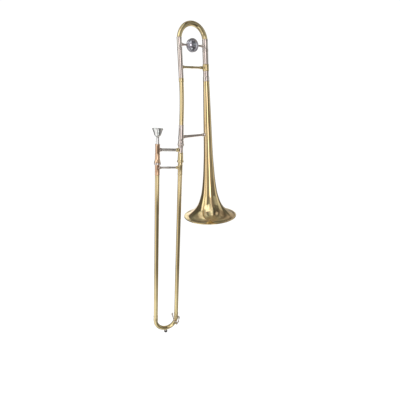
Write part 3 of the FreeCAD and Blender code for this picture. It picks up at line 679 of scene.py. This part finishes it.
place(rod("lower_hand_brace_bar", [
    (3.85, 11.0), (3.85, 34.0), (4.4, 39.0), (4.4, 47.0), (3.85, 52.0),
    (3.85, SLIDE_WIDTH - 11.0)], OUTER_BRACE, slide_frame),
    "outer_slide", SATIN, "lower_hand_brace")
place(rod("lower_brace_neck_cup", [
    (6.3, 5.8), (6.3, 9.4), (5.6, 10.4), (5.2, 11.4), (5.2, 14.8), (4.0, 16.0)],
    OUTER_BRACE, slide_frame, [(0.0, 8.3, 1)]),
    "outer_slide", BRASS, "lower_brace_neck_flange")
place(rod("lower_brace_mouth_cup", [
    (4.0, SLIDE_WIDTH - 15.0), (4.7, SLIDE_WIDTH - 14.0), (4.9, SLIDE_WIDTH - 10.8),
    (5.5, SLIDE_WIDTH - 9.6), (5.5, SLIDE_WIDTH - 5.8)],
    OUTER_BRACE, slide_frame, [(SLIDE_WIDTH, 8.3, -1)]),
    "outer_slide", NICKEL, "lower_brace_mouthpiece_flange")

crook_path = half_circle(SLIDE_WIDTH, CROOK_HIGH, CROOK_STEPS, -1)
place(pipe("slide_crook_tube", crook_path, [OUTER_R] * len(crook_path), CROOK_WALL,
           slide_frame, 56), "outer_slide", BRASS, "slide_crook")

# ------------------------------------------------------------------ CAD pieces that stay

for node, material in (
        ("bell_rim_wire", STEEL), ("counterweight_screw", STEEL), ("leadpipe", ROSE),
        ("neck_side_cork", FELT), ("mouthpiece_side_cork", FELT), ("slide_lock_ring", NICKEL),
        ("water_key_nipple", BRASS), ("water_key_saddle", NICKEL),
        ("water_key_pivot_screw", STEEL), ("water_key_spring", STEEL),
        ("water_key_lever", NICKEL), ("water_key_cork", CORK), ("bumper_cup", NICKEL),
        ("rubber_bumper", RUBBER)):
    paint(frame["nodes"][node], material)

# ------------------------------------------------------------------ floor
#
# It lies far enough below that the slide, pulled all the way out, stays above it.

FLOOR_DROP = 0.75
FLOOR_SIZE = 30.0

floor_z = cad_low[2] - FLOOR_DROP
floor_mesh = bpy.data.meshes.new("floor")
floor_mesh.from_pydata([(x * FLOOR_SIZE, y * FLOOR_SIZE, floor_z)
                        for x, y in ((-1, -1), (1, -1), (1, 1), (-1, 1))], [], [(0, 1, 2, 3)])
floor = bpy.data.objects.new("floor", floor_mesh)
bpy.context.scene.collection.objects.link(floor)
floor.visible_glossy = False
pale = Graph("pale_floor")
pale.feed(pale.shader.inputs["Base Color"],
          pale.ramp(pale.noise(0.8), [(0.3, (0.975,) * 3), (0.7, (0.985,) * 3)]))
pale.feed(pale.shader.inputs["Roughness"], pale.span(pale.noise(3.0), 0.7, 0.9))
pale.feed(pale.shader.inputs["Specular IOR Level"], 0.0)
floor_mesh.materials.append(pale.material)
floor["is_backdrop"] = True

# ------------------------------------------------------------------ studio

WARM = (1.0, 0.985, 0.96)
WHITE = (1.0, 1.0, 1.0, 1.0)
NADIR = (0.25, 0.245, 0.23, 1.0)
ZENITH = (0.26, 0.23, 0.19, 1.0)
STRENGTH = 1.06
SOFT_TURN = 4.32
SOFT_HEIGHT = 0.03
SOFT_BOX_SIZE = (1.2, 1.8)


class Studio(Graph):
    """The world: plain white light, and a room of soft boxes and dark flags to reflect.

    A turn round the room is in degrees, from 0 on the -X side through 90 on the -Y side, and a
    height is from -1 straight down to 1 straight up.
    """

    def __init__(self):
        world = bpy.data.worlds.new("studio")
        bpy.context.scene.world = world
        world.use_nodes = True
        self.tree = world.node_tree
        self.shader = self.tree.nodes["Background"]
        self.direction = self.node("ShaderNodeTexCoord", {}).outputs["Generated"]
        axes = self.node("ShaderNodeSeparateXYZ", {0: self.direction}).outputs
        self.height = axes["Z"]
        circle = self.calc("DIVIDE", self.calc("ARCTAN2", axes["Y"], axes["X"]), 2 * math.pi)
        self.turn = self.calc("ADD", circle, 0.5)

    def bands(self, stops):
        """Upright bands of light, blended between (turn, brightness) stops."""
        ramp = self.ramp(self.turn, [
            (turn / 360, [level * channel for channel in WARM]) for turn, level in stops])
        ramp.node.color_ramp.interpolation = "EASE"
        return ramp

    def above(self, low, high, under, over):
        """One light under the height low and another over the height high."""
        return self.mix(self.fade(self.height, low, high), under, over)

    def window(self, value, low, high, soft):
        """1 between low and high, fading to 0 outside."""
        return self.calc("MULTIPLY", self.fade(value, low - soft, low + soft),
                         self.fade(value, high + soft, high - soft))

    def patch(self, light, turns, heights, brightness):
        """Add a small soft box of its own."""
        across = self.window(self.turn, turns[0] / 360, turns[1] / 360, SOFT_TURN / 360)
        glow = self.calc("MULTIPLY", across, self.window(self.height, *heights, SOFT_HEIGHT))
        return self.vector("ADD", light, self.calc("MULTIPLY", glow, brightness))

    def vector(self, operation, a, b):
        return self.node("ShaderNodeVectorMath", {0: a, 1: b}, operation=operation).outputs[0]


studio = Studio()
below = studio.bands([
    (0, 0.95), (50, 0.95), (58, 0.15), (66, 0.15), (74, 0.95), (100, 0.95), (108, 0.10),
    (146, 0.10), (164, 0.7), (235, 0.9), (280, 0.2), (300, 0.2), (315, 0.95), (360, 0.95)])
ground = studio.bands([
    (0, 0.90), (12, 0.85), (26, 0.34), (50, 0.26), (80, 0.24), (92, 0.10), (146, 0.10),
    (152, 0.40), (176, 0.40), (190, 0.14), (210, 0.4), (262, 0.4), (274, 0.12), (318, 0.12),
    (328, 0.90), (360, 0.90)])
walls = studio.bands([
    (0, 1.15), (15, 1.1), (22, 0.24), (53, 0.28), (58, 0.7), (74, 0.7), (80, 0.17),
    (146, 0.17), (151, 0.6), (174, 0.6), (181, 0.12), (203, 0.12), (208, 0.45), (218, 0.45),
    (222, 0.22), (228, 0.3), (233, 0.9), (240, 1.0), (243, 0.4), (246, 0.4), (249, 1.1),
    (258, 1.0), (264, 0.10), (323, 0.10), (331, 1.1), (360, 1.15)])
ceiling = studio.bands([
    (0, 0.50), (20, 0.15), (45, 0.4), (62, 0.9), (76, 0.9), (88, 0.08), (118, 0.10),
    (132, 0.09), (165, 0.28), (185, 0.14), (205, 0.32), (222, 0.16), (243, 0.34), (262, 0.14),
    (285, 0.26), (298, 0.25), (320, 0.9), (345, 0.4), (360, 0.50)])
room = studio.above(-0.20, -0.11, ground, walls)
room = studio.above(-0.62, -0.48, below, room)
room = studio.above(-0.97, -0.90, NADIR, room)
room = studio.above(0.50, 0.62, room, ceiling)
room = studio.above(0.93, 0.98, room, ZENITH)
for turns, heights, brightness in (
        ((59, 73), (-0.15, 0.20), 1.8), ((84, 140), (-0.17, -0.04), 0.14),
        ((106, 144), (0.18, 0.38), 0.25), ((112, 136), (0.80, 0.92), 0.4),
        ((10, 50), (0.32, 0.74), 1.0)):
    room = studio.patch(room, turns, heights, brightness)

hue = studio.node("ShaderNodeTexNoise", {"Vector": studio.direction, "Scale": 2.1})
tint = studio.ramp(hue.outputs["Fac"], [(0.40, (1.06, 0.97, 0.94)), (0.60, (0.96, 1.02, 0.96))])
mottle = studio.node("ShaderNodeTexNoise", {
    "Vector": studio.direction, "Scale": 3.2, "Detail": 2.0, "Distortion": 1.2})
lift = studio.fade(mottle.outputs["Fac"], 0.35, 0.65, 0.75, 1.25)
room = studio.vector("MULTIPLY", studio.vector("MULTIPLY", room, tint), lift)
reflected = studio.node("ShaderNodeLightPath", {}).outputs["Is Glossy Ray"]
studio.feed(studio.shader.inputs["Color"], studio.mix(reflected, WHITE, room))
studio.feed(studio.shader.inputs["Strength"], STRENGTH)


def soft_box(name, azimuth, elevation, distance, power):
    """Soft box that lights the matt pieces and the floor, and isn't reflected."""
    light = bpy.data.lights.new(name, "AREA")
    light.shape = "RECTANGLE"
    light.size, light.size_y = SOFT_BOX_SIZE
    light.energy = power
    a, e = math.radians(azimuth), math.radians(elevation)
    away = Vector((-math.sin(a) * math.cos(e), -math.cos(a) * math.cos(e), math.sin(e)))
    obj = bpy.data.objects.new(name, light)
    obj.location = neck + away * distance
    obj.rotation_euler = away.to_track_quat("Z", "Y").to_euler()
    obj.visible_glossy = False
    bpy.context.scene.collection.objects.link(obj)


soft_box("key_softbox", 75.0, 35.0, 2.2, 14.0)
soft_box("fill_softbox", -10.0, 25.0, 2.4, 8.0)

# ------------------------------------------------------------------ camera

CAMERA_FROM_NECK = Vector((-0.5841, -0.9927, 0.0844))
CAMERA_AZIMUTH = math.radians(34.4)
CAMERA_PITCH = math.radians(13.86)
CAMERA_ROLL = math.radians(2.54)
SENSOR_WIDTH = 36.0
FOCAL_LENGTH = 28.0
FARTHEST = 50.0

camera_data = bpy.data.cameras.new("camera")
camera_data.sensor_width = SENSOR_WIDTH
camera_data.lens = FOCAL_LENGTH
camera_data.clip_end = FARTHEST
camera = bpy.data.objects.new("camera", camera_data)
bpy.context.scene.collection.objects.link(camera)
camera.matrix_world = (
    Matrix.Translation(neck + CAMERA_FROM_NECK)
    @ Matrix.Rotation(-CAMERA_AZIMUTH, 4, "Z")
    @ Matrix.Rotation(math.pi / 2 - CAMERA_PITCH, 4, "X")
    @ Matrix.Rotation(CAMERA_ROLL, 4, "Z"))
bpy.context.scene.camera = camera
bpy.context.scene.view_settings.view_transform = "Standard"

low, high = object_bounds()
